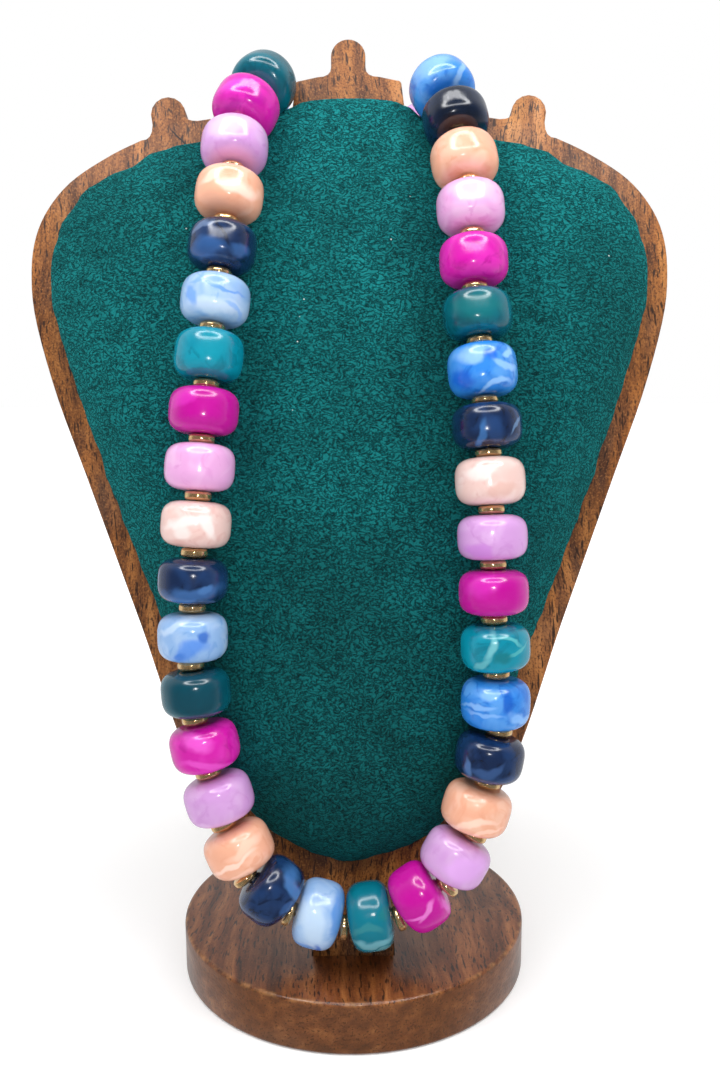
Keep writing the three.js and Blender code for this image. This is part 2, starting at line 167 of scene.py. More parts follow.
def worn_and_highlit_rim(finish, place, tone):
    """A plainer tone round the side, where the grain ends, and a lighter line round the rim, partly
    the stain rubbed off it and partly a painted highlight on the edge.
    """
    flat = add(finish, "VectorMath", {0: place, 1: (1, 1, 0)}, operation="MULTIPLY").outputs[0]
    out = add(finish, "VectorMath", {0: flat}, operation="LENGTH").outputs["Value"]
    start, full = (foot_radius - way for way in wear_and_highlight_inwards)
    edge = add(finish, "MapRange", {0: out, 1: start, 2: full})
    high = add(finish, "SeparateXYZ", {0: place}).outputs["Z"]
    start, full = (foot_thickness - way for way in wear_and_highlight_downwards)
    top = add(finish, "MapRange", {0: high, 1: start, 2: full})
    side = add(finish, "MapRange", {0: high, 1: full, 2: start, 3: 0.0, 4: 0.55})
    tone = mixed(finish, side.outputs[0], tone, paint("6e421f"))
    # Painted highlight, with wear: the top's rim is lightened towards an ochre tone, broken up by
    # noise.
    rubbed_and_highlit = add(finish, "TexNoise", {"Vector": place, "Scale": 420.0, "Detail": 3.0}).outputs[0]
    rubbed_and_highlit = shades(finish, rubbed_and_highlit, [(0.42, 0.0), (0.66, 0.5)])
    both = add(finish, "Math", {0: edge.outputs[0], 1: top.outputs[0]}, operation="MULTIPLY")
    wear_and_highlight = add(finish, "Math", {0: both.outputs[0], 1: rubbed_and_highlit}, operation="MULTIPLY").outputs[0]
    return mixed(finish, wear_and_highlight, tone, paint("b9834e"))


bpy.ops.object.select_all(action="DESELECT")
bpy.ops.mesh.primitive_cylinder_add(
    vertices=160, radius=foot_radius, depth=foot_thickness, location=(0, 0, foot_thickness / 2))
foot = bpy.context.object
foot.name = "foot"
foot.modifiers.new("broken_edges", "BEVEL").width = edge_break
foot.modifiers["broken_edges"].segments = 4
apply_modifiers(foot)
bpy.ops.object.transform_apply(location=True, rotation=True, scale=True)
bpy.ops.mesh.primitive_cube_add(size=1)
cutter = bpy.context.object
cutter.scale = (slot_width, slot_length, 2 * slot_depth)
bpy.ops.object.transform_apply(location=True, rotation=True, scale=True)
cutter.data.transform(
    Matrix.Translation((0, board_front, foot_thickness))
    @ Matrix.Rotation(-board_lean, 4, "X")
    @ Matrix.Translation((0, board_thickness / 2, 0)))
slot = foot.modifiers.new("slot", "BOOLEAN")
slot.operation = "DIFFERENCE"
slot.object = cutter
apply_modifiers(foot)
bpy.data.objects.remove(cutter)
bpy.ops.object.select_all(action="DESELECT")
foot.select_set(True)
bpy.ops.object.shade_smooth_by_angle(angle=math.radians(35))
foot.data.materials.append(walnut(
    "foot_walnut", (math.radians(90), 0, 0), 0.3, 0.35, 0.3,
    ("43210d", "693616", "874e26", "ae703d"), worn_and_highlit_rim))
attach(foot, "root")
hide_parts("base")


# Board
# One 9 mm plank of the same walnut, sawn to the outline of a neckline with three knobs, sanded
# round at its edges and leaning back on its tab. Two notches beside the middle hold the string.
# A short crack runs from the left knob down to the pad.
def copy_of_node(node, name):
    piece = bpy.data.objects.new(name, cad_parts[node].data.copy())
    bpy.context.scene.collection.objects.link(piece)
    piece.data.materials.clear()
    bpy.ops.object.select_all(action="DESELECT")
    piece.select_set(True)
    bpy.context.view_layer.objects.active = piece
    bpy.ops.object.mode_set(mode="EDIT")
    bpy.ops.mesh.select_all(action="SELECT")
    bpy.ops.mesh.remove_doubles(threshold=1e-6)
    bpy.ops.mesh.dissolve_limited(angle_limit=math.radians(0.4))
    bpy.ops.object.mode_set(mode="OBJECT")
    return piece


def on_board(across, into, up):
    """A place given across, into and up the board, in metres, in the stand's own frame."""
    run = Matrix.Rotation(-board_lean, 3, "X") @ Vector((across, into, up))
    return run + Vector((0, board_front, foot_thickness))


# The crack's middle, its half length, depth and half width, its slope, and how far it wanders.
crack_middle = on_board(-0.0522, 0, 0.2510)
crack_size, crack_slope, crack_wander = (0.0064, 0.02, 0.00036), math.radians(45), 0.0012


def crack_at(finish, place, tone):
    noise = add(finish, "TexNoise", {"Vector": place, "Scale": 260.0, "Detail": 2.0})
    wander = add(finish, "VectorMath", {
        0: noise.outputs["Color"], "Scale": crack_wander}, operation="SCALE").outputs[0]
    strayed = add(finish, "VectorMath", {0: wander, 1: place}).outputs[0]
    line = add(finish, "Mapping", {
        "Vector": strayed, "Location": crack_middle + Vector((crack_wander / 2,) * 3),
        "Rotation": (0, crack_slope, 0), "Scale": crack_size},
        vector_type="TEXTURE").outputs[0]
    away = add(finish, "VectorMath", {0: line}, operation="LENGTH").outputs["Value"]
    return mixed(finish, add(finish, "MapRange", {0: away, 1: 1.0, 2: 0.6}).outputs[0],
                 tone, paint("1a0c05"))


board = copy_of_node("board", "display_board")
edges = board.modifiers.new("sanded_edges", "BEVEL")
edges.width = 0.0009
edges.segments = 3
edges.angle_limit = math.radians(50)
apply_modifiers(board)
bpy.ops.object.shade_smooth_by_angle(angle=math.radians(35))
board.data.materials.append(walnut(
    "board_walnut", (board_lean, 0, 0), 0.42, 0.05, 0.7,
    ("43200c", "78441a", "a2632c", "cb8848"), crack_at))
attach(board, "root")
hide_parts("board")

# Pad
# A shaped layer of foam glued to the board and covered in deep green velvet with a short curly
# pile, pulled over the rim and tucked under it. It is crowned, and the beads press into it.
pad = copy_of_node("velvet_pad", "velvet_pad_cover")
pad_low, pad_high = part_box("velvet_pad")
lean_back = Matrix.Rotation(board_lean, 3, "X")


def laid_flat(points):
    """Places measured from the board's foot: across, into the board and up along it."""
    return (points - np.array((0, board_front, foot_thickness))) @ np.array(lean_back).T


def stood_up(points):
    return points @ np.array(lean_back) + np.array((0, board_front, foot_thickness))


def places(piece):
    flat = np.empty(3 * len(piece.data.vertices))
    piece.data.vertices.foreach_get("co", flat)
    return flat.reshape(-1, 3)


def move_to(piece, points):
    piece.data.vertices.foreach_set("co", points.ravel())
    piece.data.update()


# The pad stands this far off the board, swells this far at most, and starts this much thinner.
glue_gap, swell_limit, slack_share = 0.0003, 0.0030, 0.86
# What lies nearer to the board than these is glued down, or is too far back for a dent.
glued_depth, undented_depth = 0.0012, 0.0015
full_size = laid_flat(places(pad))


def to_outline(points):
    """The same places, drawn out to the pad's full width and height, and off the glue."""
    fitted = points.copy()
    for way in (0, 2):
        fitted[:, way] = np.interp(
            points[:, way], (points[:, way].min(), points[:, way].max()),
            (full_size[:, way].min(), full_size[:, way].max()))
    fitted[:, 1] = np.minimum(fitted[:, 1], -glue_gap)
    return fitted


bpy.ops.object.mode_set(mode="EDIT")
bpy.ops.mesh.select_all(action="SELECT")
bpy.ops.mesh.tris_convert_to_quads()
bpy.ops.object.mode_set(mode="OBJECT")
rounder = pad.modifiers.new("rounder", "SUBSURF")
rounder.levels = rounder.render_levels = 2
skin = pad.modifiers.new("skin", "REMESH")
skin.mode = "VOXEL"
skin.voxel_size = 0.0026
ease = pad.modifiers.new("ease", "SMOOTH")
ease.factor = 0.5
ease.iterations = 14
apply_modifiers(pad)
slack = laid_flat(places(pad))
slack[:, 1] *= slack_share
move_to(pad, stood_up(to_outline(slack)))
before = laid_flat(places(pad))
glued = pad.vertex_groups.new(name="glued")
glued.add([i for i, y in enumerate(before[:, 1]) if y > -glued_depth], 1.0, "REPLACE")
foam = pad.modifiers.new("foam", "CLOTH")
foam.settings.use_pressure = True
foam.settings.uniform_pressure_force = 4.0
foam.settings.vertex_group_mass = "glued"
foam.settings.effector_weights.gravity = 0.0
for moment in range(1, 21):
    bpy.context.scene.frame_set(moment)
apply_modifiers(pad)
bpy.context.scene.frame_set(1)
after = laid_flat(places(pad))
way = after - before
far = np.linalg.norm(way, axis=1, keepdims=True)
after = before + way * np.minimum(1, swell_limit / np.maximum(far, 1e-9))
move_to(pad, stood_up(after))
settle = pad.modifiers.new("settle", "SMOOTH")
settle.factor = 0.5
settle.iterations = 22
apply_modifiers(pad)
move_to(pad, stood_up(to_outline(laid_flat(places(pad)))))
finer = pad.modifiers.new("finer", "SUBSURF")
finer.levels = finer.render_levels = 1
apply_modifiers(pad)


# A bead presses a dent of this radius, a little wider than itself, eased out over this much. A
# bead whose middle isn't this far in front of the board lies over its edge and doesn't press.
press, dent_ease, least_forward = 0.0104, 0.0012, 0.006


def resting_heights(points):
    """How far out of the board the pad may stand under each bead, at places laid flat."""
    no_limit = -0.06
    free = np.full(len(points), no_limit)
    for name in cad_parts:
        low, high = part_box(name)
        middle = laid_flat(np.array(((low + high) / 2,)))[0]
        if not name.startswith("bead_") or middle[1] > -least_forward:
            continue
        out = np.hypot(points[:, 0] - middle[0], points[:, 2] - middle[2]) / press
        under = middle[1] + press * np.sqrt(1 - np.minimum(out, 1) ** 2)
        free = np.where(out < 1, np.maximum(free, under), free)
    return free


flat = laid_flat(places(pad))
front = flat[:, 1] < -undented_depth
over = resting_heights(flat) - flat[:, 1]
push = np.where(front, dent_ease * np.log1p(np.exp(np.clip(over / dent_ease, -30, 30))), 0)
flat[:, 1] = np.minimum(flat[:, 1] + push, -glue_gap)
move_to(pad, stood_up(flat))
bpy.ops.object.shade_smooth()

velvet = new_finish("green_velvet")
place = add(velvet, "TexCoord").outputs["Object"]
warp = add(velvet, "TexNoise", {"Vector": place, "Scale": 210.0, "Detail": 2.0})
pull = add(velvet, "VectorMath", {0: warp.outputs["Color"], "Scale": 0.0035}, operation="SCALE")
curl_place = add(velvet, "VectorMath", {0: place, 1: pull.outputs[0]}).outputs[0]
lying = add(velvet, "Mapping", {"Vector": curl_place, "Scale": (0.62, 1.0, 1.0)}).outputs[0]
tangle = add(velvet, "TexNoise", {"Vector": lying, "Scale": 1150.0, "Detail": 1.5}).outputs[0]
curls = shades(velvet, tangle, [(0.38, 1.0), (0.46, 0.6), (0.5, 0.0), (0.54, 0.6), (0.62, 1.0)])
fuzz = add(velvet, "TexNoise", {"Vector": place, "Scale": 2900.0, "Detail": 1.0}).outputs[0]
curls = mixed(velvet, 0.35, curls, fuzz)
clumps = add(velvet, "TexNoise", {"Vector": place, "Scale": 130.0, "Detail": 3.0})
brushed = add(velvet, "TexNoise", {"Vector": place, "Scale": 22.0, "Detail": 3.0})
# The tone follows the pile's curls and is darker in the gaps between them: partly the pile's own
# colour, partly painted shade in the pile's relief.
tone = shades(velvet, curls, [
    (0.18, paint("02282b")), (0.40, paint("044244")), (0.62, paint("07575a")),
    (0.88, paint("187f80"))])
tone = mixed(velvet, 0.6, tone, shades(velvet, clumps.outputs[0], [(0.35, 0.7), (0.6, 1.0)]),
             "MULTIPLY")
tone = mixed(velvet, 0.6, tone, shades(velvet, brushed.outputs[0], [(0.40, 0.50), (0.58, 1.0)]),
             "MULTIPLY")
# Painted shade: the velvet is darkened towards the bottom of the pad, where less of the overhead
# light falls.
height = add(velvet, "SeparateXYZ", {0: place}).outputs["Z"]
painted_shade_below = add(velvet, "MapRange", {
    0: height, 1: pad_low.z, 2: pad_high.z, 3: 0.55, 4: 1.0}).outputs[0]
tone = mixed(velvet, 1.0, tone, painted_shade_below, "MULTIPLY")
lint = add(velvet, "TexVoronoi", {"Vector": place, "Scale": 70.0}).outputs["Distance"]
tone = mixed(velvet, shades(velvet, lint, [(0.012, 0.8), (0.022, 0.0)]), tone, paint("c9d6d2"))
pile = add(velvet, "Bump", {"Height": curls, "Strength": 0.9, "Distance": 0.0006})
surface(velvet, {
    "Base Color": tone,
    "Roughness": 0.95,
    "Specular IOR Level": 0.1,
    "Sheen Weight": 0.45,
    "Sheen Roughness": 0.5,
    "Sheen Tint": paint("2a9a98"),
    "Normal": pile.outputs[0],
})
pad.data.materials.append(velvet)
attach(pad, "root")
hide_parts("velvet_pad")

# Beads
# Cast resin beads 20 mm across, tumbled to a soft rounded drum and polished, each drilled along
# its short axis. Swirls of other colours run through the cast, so no two are alike.
bead_radius, bead_length, bore_radius = 0.0099, 0.0156, 0.0012
bead_rounding, rounding_profile = 0.0076, 0.64


def model_bead():
    """One bead of length 1 on Z, drilled, its ends rounded over."""
    bpy.ops.object.select_all(action="DESELECT")
    bpy.ops.mesh.primitive_cylinder_add(vertices=64, radius=bead_radius, depth=bead_length)
    bead = bpy.context.object
    round_over = bead.modifiers.new("round_over", "BEVEL")
    round_over.width = bead_rounding
    round_over.segments = 14
    round_over.profile = rounding_profile
    round_over.use_clamp_overlap = False
    apply_modifiers(bead)
    bpy.ops.object.mode_set(mode="EDIT")
    bpy.ops.mesh.select_all(action="DESELECT")
    bpy.ops.object.mode_set(mode="OBJECT")
    ends = [face for face in bead.data.polygons if len(face.vertices) > 8]
    for face in ends:
        face.select = True
    cap_radius = max(bead.data.vertices[i].co.xy.length for i in ends[0].vertices)
    bpy.ops.object.mode_set(mode="EDIT")
    bpy.ops.mesh.select_mode(type="FACE")
    bpy.ops.mesh.inset(thickness=cap_radius - bore_radius, use_individual=True)
    bpy.ops.mesh.bridge_edge_loops()
    bpy.ops.mesh.select_all(action="SELECT")
    bpy.ops.mesh.normals_make_consistent(inside=False)
    bpy.ops.object.mode_set(mode="OBJECT")
    bpy.ops.object.shade_smooth_by_angle(angle=math.radians(40))
    for vertex in bead.data.vertices:
        vertex.co.z /= bead_length
    return bead


# Each resin's colours: ground, cloud, deep, and how strongly the cloud and the deep tone show.
casts = {
    "sky_blue": ("87abd8", "abc3df", "6998cf", 0.6),
    "navy": ("0e2346", "1b3864", "08132a", 0.7),
    "peach": ("e8a98c", "efc2ab", "e29a7a", 0.55),
    "lilac": ("c794ce", "d6b2da", "b97cc0", 0.45),
    "magenta": ("c8129f", "d531b2", "a80886", 0.6),
    "dark_teal": ("045362", "08687a", "033f4c", 0.6),
    "blush": ("dfbdb6", "e8d2cd", "d4a49d", 0.6),
    "pink": ("da9fd0", "e6c2e1", "cb82bf", 0.45),
    "teal": ("048097", "1293a9", "046376", 0.55),
    "blue": ("2f7fd5", "609fe0", "155fbc", 0.65),
}

# The beads of each side from the bottom of the loop up, and the swirls that show on their fronts.
# A swirl is its colour, its place across and up from the bead's middle, its half width and half
# height, all in bead radii, its turn in degrees, and how much it arches.
left_beads = [
    ("sky_blue", [
        ("bdd3ea", -0.15, 0.0, 0.42, 0.85, 8, 0), ("4d86cc", 0.62, 0.15, 0.22, 0.75, -8, 0),
        ("2f66c2", 0.02, -0.86, 0.12, 0.22, 12, 0), ("6c9ce0", -0.35, -0.7, 0.3, 0.12, -20, 0)]),
    ("navy", [
        ("4272ad", 0.72, 0.25, 0.2, 0.62, 20, 0), ("2c5288", 0.5, -0.25, 0.25, 0.14, 35, 0.3)]),
    ("peach", [
        ("fcd5c3", -0.1, -0.2, 0.75, 0.08, 33, 0.05), ("f9c9b2", 0.25, 0.25, 0.55, 0.16, 33, 0),
        ("f7c3ab", 0.1, -0.55, 0.5, 0.08, 30, 0)]),
    ("lilac", []),
    ("magenta", [
        ("e257c8", -0.1, 0.25, 0.5, 0.25, 0, 0), ("dd48c0", 0.1, -0.4, 0.7, 0.15, -5, 0)]),
    ("dark_teal", [("033c4c", 0.1, 0.1, 1.1, 0.9, 0, 0)]),
    ("sky_blue", [
        ("b4cbe6", -0.3, 0.38, 0.6, 0.12, 25, 0), ("4d84d8", 0.0, -0.32, 0.62, 0.24, 22, 0.15),
        ("2d62ba", 0.42, 0.02, 0.16, 0.2, 10, 0), ("3f76cc", -0.3, -0.45, 0.2, 0.12, 10, 0)]),
    ("navy", [
        ("35619b", 0.05, -0.5, 0.95, 0.25, 4, -0.25), ("426fa8", 0.45, -0.32, 0.22, 0.14, 35, 0),
        ("5f84b4", -0.97, -0.1, 0.08, 0.6, -5, 0)]),
    ("blush", [
        ("efe3e0", -0.1, 0.12, 0.75, 0.16, 5, 0.12), ("efe3e0", 0.5, -0.05, 0.14, 0.38, 25, 0),
        ("ecdcd8", -0.25, -0.2, 0.3, 0.22, -15, 0), ("d6a8a0", -0.45, -0.5, 0.35, 0.14, 15, 0)]),
    ("pink", []),
    ("magenta", [("b0048a", 0.0, 0.0, 1.4, 1.3, 0, 0), ("cc28ac", -0.45, 0.3, 0.45, 0.25, 25, 0)]),
    ("teal", [("0b8ba0", 0.2, 0.1, 0.4, 0.5, -4, 0), ("046a7c", 0.0, -0.66, 0.9, 0.14, 0, 0)]),
    ("sky_blue", [
        ("bfd3ea", 0.0, -0.35, 0.8, 0.22, -8, 0), ("5c90dc", 0.15, 0.12, 0.7, 0.07, -24, -0.35),
        ("6a9ae0", -0.62, -0.05, 0.13, 0.4, 25, 0.2), ("79a4e2", -0.35, 0.42, 0.4, 0.06, 30, -0.4),
        ("86ade6", 0.6, -0.45, 0.3, 0.07, -40, 0)]),
    ("navy", [
        ("2f578f", -0.3, -0.2, 0.6, 0.26, 6, 0.15), ("0c1a34", 0.2, 0.12, 0.5, 0.06, -62, 0.15),
        ("31598f", 0.55, -0.3, 0.25, 0.2, 20, 0), ("5a6f93", -0.4, 0.4, 0.4, 0.12, 12, 0)]),
    ("peach", [
        ("fbd9c8", 0.4, -0.05, 0.6, 0.22, -16, 0), ("dfa58c", -0.4, -0.35, 0.45, 0.25, -10, 0),
        ("fad2be", -0.4, 0.35, 0.4, 0.15, 20, 0)]),
    ("lilac", [("dcc0ea", -0.1, 0.3, 0.7, 0.4, 10, 0), ("cf9bd2", 0.25, -0.5, 0.6, 0.25, -15, 0)]),
    ("magenta", [
        ("b30c96", 0.35, 0.0, 0.35, 0.3, -40, 0), ("b30c96", -0.3, -0.3, 0.35, 0.15, 10, 0),
        ("d93bbd", -0.3, 0.3, 0.5, 0.2, 20, 0)]),
    ("dark_teal", []), ("blue", []), ("pink", []), ("navy", []),
]
right_beads = [
    ("dark_teal", [
        ("087488", 0.0, 0.0, 1.3, 1.3, 0, 0), ("6aa9b6", 0.1, -0.58, 0.7, 0.13, 4, -0.3),
        ("5b9ea8", 0.35, -0.75, 0.4, 0.08, 20, 0), ("2c7f88", -0.1, -0.05, 0.45, 0.14, 10, 0.4),
        ("1a747b", 0.45, 0.35, 0.25, 0.2, 40, 0)]),
    ("magenta", [
        ("b6068f", 0.0, 0.0, 1.4, 1.3, 0, 0), ("e07acb", 0.18, -0.12, 0.09, 0.42, -30, 0),
        ("e670d0", -0.08, -0.3, 0.3, 0.07, 30, 0), ("e05cc8", 0.7, 0.05, 0.1, 0.5, 25, 0)]),
    ("lilac", [("d9a2e4", 0.2, -0.1, 0.6, 0.4, 0, 0)]),
    ("peach", [
        ("fbd0bc", -0.2, -0.25, 0.7, 0.09, 10, 0.1), ("fac9b3", 0.2, -0.5, 0.5, 0.08, 8, 0)]),
    ("navy", [
        ("2f4f80", -0.1, -0.28, 0.6, 0.12, 12, -0.35), ("233f6c", 0.1, -0.55, 0.75, 0.18, 0, 0),
        ("466a9e", -0.72, -0.2, 0.12, 0.28, 15, 0)]),
    ("blue", [
        ("7eb0ea", -0.55, -0.02, 0.45, 0.07, 2, 0), ("78aae6", -0.35, -0.2, 0.5, 0.06, -4, 0),
        ("1259bd", 0.3, 0.08, 0.2, 0.34, 0, 0), ("7fb3ee", 0.6, -0.35, 0.35, 0.12, -18, 0),
        ("85b7ef", -0.3, 0.35, 0.35, 0.14, 10, 0)]),
    ("teal", [
        ("6fb7bf", -0.22, 0.15, 0.14, 0.5, -12, 0.2), ("5aaab4", -0.42, -0.42, 0.26, 0.1, 35, 0),
        ("58b2b8", 0.3, 0.32, 0.4, 0.07, -22, 0.3), ("4aa8af", 0.5, -0.1, 0.35, 0.06, 30, 0),
        ("0a6d78", 0.1, -0.25, 0.3, 0.2, 0, 0)]),
    ("magenta", [("b0048a", 0.0, 0.0, 1.4, 1.3, 0, 0), ("cc28ac", -0.35, 0.25, 0.5, 0.28, 15, 0)]),
    ("lilac", [("be7acb", -0.45, -0.4, 0.45, 0.25, -15, 0)]),
    ("blush", [
        ("dab0a6", 0.25, -0.28, 0.6, 0.16, 12, 0), ("eee0dc", -0.35, 0.2, 0.5, 0.2, 20, 0)]),
    ("navy", [
        ("3566a0", -0.22, -0.3, 0.13, 0.42, -8, 0), ("1f3d6c", 0.15, -0.15, 0.3, 0.3, 10, 0),
        ("55779f", 0.75, 0.0, 0.05, 0.3, -25, 0)]),
    ("blue", [
        ("92bff1", -0.35, 0.38, 0.5, 0.22, 18, 0), ("8bb9ee", 0.45, 0.0, 0.45, 0.15, -15, -0.4),
        ("1357c2", -0.62, -0.32, 0.3, 0.32, 20, 0), ("8cbcf1", 0.2, -0.45, 0.5, 0.09, 25, 0.3),
        ("1b63cc", 0.1, 0.35, 0.2, 0.18, 0, 0), ("90c0f2", 0.62, 0.45, 0.2, 0.12, 40, 0)]),
    ("dark_teal", [("0f6a70", -0.1, 0.1, 0.8, 0.4, 0, 0)]),
    ("magenta", []),
    ("pink", [("f0c4ea", -0.1, 0.3, 0.7, 0.3, 0, 0)]),
    ("peach", [("f9c8ae", 0.35, -0.3, 0.4, 0.25, 20, 0)]),
    ("navy", [("08111f", 0.0, 0.1, 1.1, 0.9, 0, 0), ("24131a", 0.05, -0.45, 0.7, 0.22, 0, 0)]),
    ("blue", [
        ("7fb0e6", -0.35, 0.4, 0.7, 0.3, 25, 0), ("8bb6e8", 0.5, 0.2, 0.12, 0.55, -30, 0.1),
        ("1c6ccd", -0.1, -0.25, 0.5, 0.3, 15, 0)]),
    ("lilac", []), ("peach", []), ("teal", []),
]
# The swirls' places are given as the camera looks, which is this far down from level.
picture_tilt = math.radians(-9.7)


def swirled(finish, tone, local, swirl):
    """The tone with one swirl laid on it: a soft-edged streak sunk through the bead's front."""
    colour, across, up, half_width, half_height, turn, arch = swirl
    placed = add(finish, "Mapping", {
        "Vector": local, "Location": (across, -0.9, up), "Rotation": (0, -math.radians(turn), 0),
        "Scale": (half_width, 2.2, half_height)}, vector_type="TEXTURE").outputs[0]
    if arch:
        parts = add(finish, "SeparateXYZ", {0: placed}).outputs
        square = add(finish, "Math", {0: parts["X"], 1: parts["X"]}, operation="MULTIPLY")
        lifted = add(finish, "Math", {
            0: square.outputs[0], 1: arch * half_width / half_height, 2: parts["Z"]},
            operation="MULTIPLY_ADD")
        placed = add(finish, "CombineXYZ", {
            0: parts["X"], 1: parts["Y"], 2: lifted.outputs[0]}).outputs[0]
    away = add(finish, "VectorMath", {0: placed}, operation="LENGTH").outputs["Value"]
    shown = add(finish, "MapRange", {0: away, 1: 1.25, 2: 0.5, 3: 0.0, 4: 0.85},
                interpolation_type="SMOOTHSTEP").outputs[0]
    return mixed(finish, shown, tone, paint(colour))


def resin(name, cast, swirls, centre, seed):
    finish = new_finish(name)
    *colours, strength = casts[cast]
    ground, cloud, deep = map(paint, colours)
    place = add(finish, "TexCoord").outputs["Object"]
    local = add(finish, "Mapping", {
        "Vector": place, "Location": centre, "Rotation": (picture_tilt, 0, 0),
        "Scale": (bead_radius, bead_radius, bead_radius)}, vector_type="TEXTURE").outputs[0]
    moved = add(finish, "Mapping", {"Vector": local, "Location": seed}).outputs[0]
    clouds = add(finish, "TexNoise", {
        "Vector": moved, "Scale": 0.9, "Detail": 2.0, "Distortion": 0.9}).outputs[0]
    depths = add(finish, "TexNoise", {
        "Vector": moved, "Scale": 1.5, "Detail": 3.0, "Distortion": 1.8}).outputs[0]
    tone = mixed(finish, shades(finish, clouds, [(0.44, 0.0), (0.64, strength)], True),
                 ground, cloud)
    tone = mixed(finish, shades(finish, depths, [(0.50, 0.0), (0.70, strength)], True), tone, deep)
    drift = add(finish, "TexNoise", {"Vector": moved, "Scale": 1.3, "Detail": 2.5})
    drift = add(finish, "VectorMath", {0: drift.outputs["Color"], 1: (0.5, 0.5, 0.5)},
                operation="SUBTRACT").outputs[0]
    drift = add(finish, "VectorMath", {0: drift, "Scale": 0.55}, operation="SCALE").outputs[0]
    flowing = add(finish, "VectorMath", {0: local, 1: drift}).outputs[0]
    for swirl in swirls:
        tone = swirled(finish, tone, flowing, swirl)
    surface(finish, {
        "Base Color": tone, "Roughness": 0.2, "Coat Weight": 0.3, "Coat Roughness": 0.1})
    return finish


def axis_of(node):
    """The middle, the axis and the length of a drum-shaped CAD node, read off its corners."""
    points = np.array([v.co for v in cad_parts[node].data.vertices])
    points = np.unique(points.round(6), axis=0)
    middle = points.mean(0)
    spread, ways = np.linalg.eigh(np.cov((points - middle).T))
    lone = 2 if spread[2] - spread[1] > spread[1] - spread[0] else 0
    axis = ways[:, lone]
    reach = (points - middle) @ axis
    return Vector(middle), Vector(axis).normalized(), reach.max() - reach.min()


pattern_bead = model_bead()
strands = {}
for side, beads in (("left", left_beads), ("right", right_beads)):
    strands[side] = []
    for number, (cast, swirls) in enumerate(beads, 1):
        node = f"bead_{side}_{number:02d}"
        centre, axis, length = axis_of(node)
        bead = bpy.data.objects.new(f"resin_{node}", pattern_bead.data.copy())
        bpy.context.scene.collection.objects.link(bead)
        turn = axis.to_track_quat("Z", "Y").to_matrix().to_4x4()
        stretch = Matrix.Diagonal((1, 1, length, 1))
        bead.data.transform(Matrix.Translation(centre) @ turn @ stretch)
        seed = (7.3 * number, 3.1 * number if side == "left" else -4.7 * number, 1.9 * number)
        bead.data.materials.append(
            resin(f"resin_{side}_{number:02d}", cast, swirls, centre, seed))
        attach(bead, "root")
        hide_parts(node)
        strands[side].append((centre, axis, length))
bpy.data.objects.remove(pattern_bead)

# Rings
# Small rings of gold-plated brass between the beads, with a rounded edge, loose on the thread.
# Where the string bends they slide outwards on the slack thread.
gold = new_finish("polished_gold")
gold_place = add(gold, "TexCoord").outputs["Object"]
scuffs = add(gold, "TexNoise", {"Vector": gold_place, "Scale": 900.0, "Detail": 3.0})
surface(gold, {
    "Base Color": shades(gold, scuffs.outputs[0], [
        (0.35, paint("f3c588")), (0.65, paint("ffdfaa"))]),
    "Metallic": 0.86,
    "Roughness": shades(gold, scuffs.outputs[0], [(0.35, 0.12), (0.7, 0.22)]),
})


ring_radius, rounded_share = 0.0038, 0.75
# A ring fills the gap between two beads but for this play, within these half thicknesses.
ring_play, thin_ring, thick_ring = 0.0002, 0.0008, 0.0013
# Where a bead has no bead beside it, a ring of this half thickness stands this far off it.
lone_ring, lone_distance = 0.001, 0.0013
# How far a ring slides outwards for each degree of bend, and the most it can.
slide_per_degree, slide_limit = 0.00016, 0.0023


def model_ring(place, axis, half):
    bpy.ops.object.select_all(action="DESELECT")
    bpy.ops.mesh.primitive_cylinder_add(vertices=32, radius=ring_radius, depth=2 * half)
    ring = bpy.context.object
    edge = ring.modifiers.new("rounded", "BEVEL")
    edge.width = half * rounded_share
    edge.segments = 5
    apply_modifiers(ring)
    turn = axis.to_track_quat("Z", "Y").to_matrix().to_4x4()
    ring.data.transform(Matrix.Translation(place) @ turn)
    bpy.ops.object.shade_smooth_by_angle(angle=math.radians(40))
    ring.data.materials.append(gold)
    return ring


def end_towards(bead, other):
    """The end of a bead's bore that faces another place, and the way out of it."""
    centre, axis, length = bead
    way = axis if axis.dot(other - centre) > 0 else -axis
    return centre + way * (length / 2), way


def ring_between(low, high):
    near, out = end_towards(low, high[0])
    far, back = end_towards(high, low[0])
    half = min(thick_ring, max(thin_ring, (far - near).length / 2 - ring_play))
    place = (near + far) / 2
    outward = out + back
    if outward.z < 0:
        slide = min(slide_limit, math.degrees(out.angle(-back)) * slide_per_degree)
        place = place + outward.normalized() * slide
    return model_ring(place, (out - back).normalized(), half), place


def lone_ring_at(end, way):
    place = end + way * lone_distance
    return model_ring(place, way, lone_ring), place


# Beads whose middles are further apart than this have a bare stretch of thread between them.
bare_stretch = 0.02
chain = [*reversed(strands["left"]), *strands["right"]]
placed_rings = []
for low, high in zip(chain, chain[1:]):
    if (low[0] - high[0]).length > bare_stretch:
        placed_rings.append(lone_ring_at(*end_towards(low, high[0])))
        placed_rings.append(lone_ring_at(*end_towards(high, low[0])))
    else:
        placed_rings.append(ring_between(low, high))
for last, following in ((chain[0], chain[1]), (chain[-1], chain[-2])):
    placed_rings.append(lone_ring_at(*end_towards(last, last[0] * 2 - following[0])))
rings, stops = map(list, zip(*placed_rings))
for number, ring in enumerate(rings, 1):
    ring.name = f"gold_ring_{number:02d}"
    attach(ring, "root")
    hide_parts("string_and_rings")

# Thread
# Strong waxed thread, 1 mm thick, that runs through every bead and ring and is knotted at the
# clasp. It is bare where it crosses the board.
thread_radius, knot_radius = 0.0005, 0.0009
# How far from the clasp's middle the knots sit, and the thread ends inside it.
knot_out, end_out = Vector((0.0097, 0, 0)), Vector((0.0065, 0, 0))
clasp_low, clasp_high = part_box("clasp")
clasp_middle = (clasp_low + clasp_high) / 2
knots = [clasp_middle - knot_out, clasp_middle + knot_out]
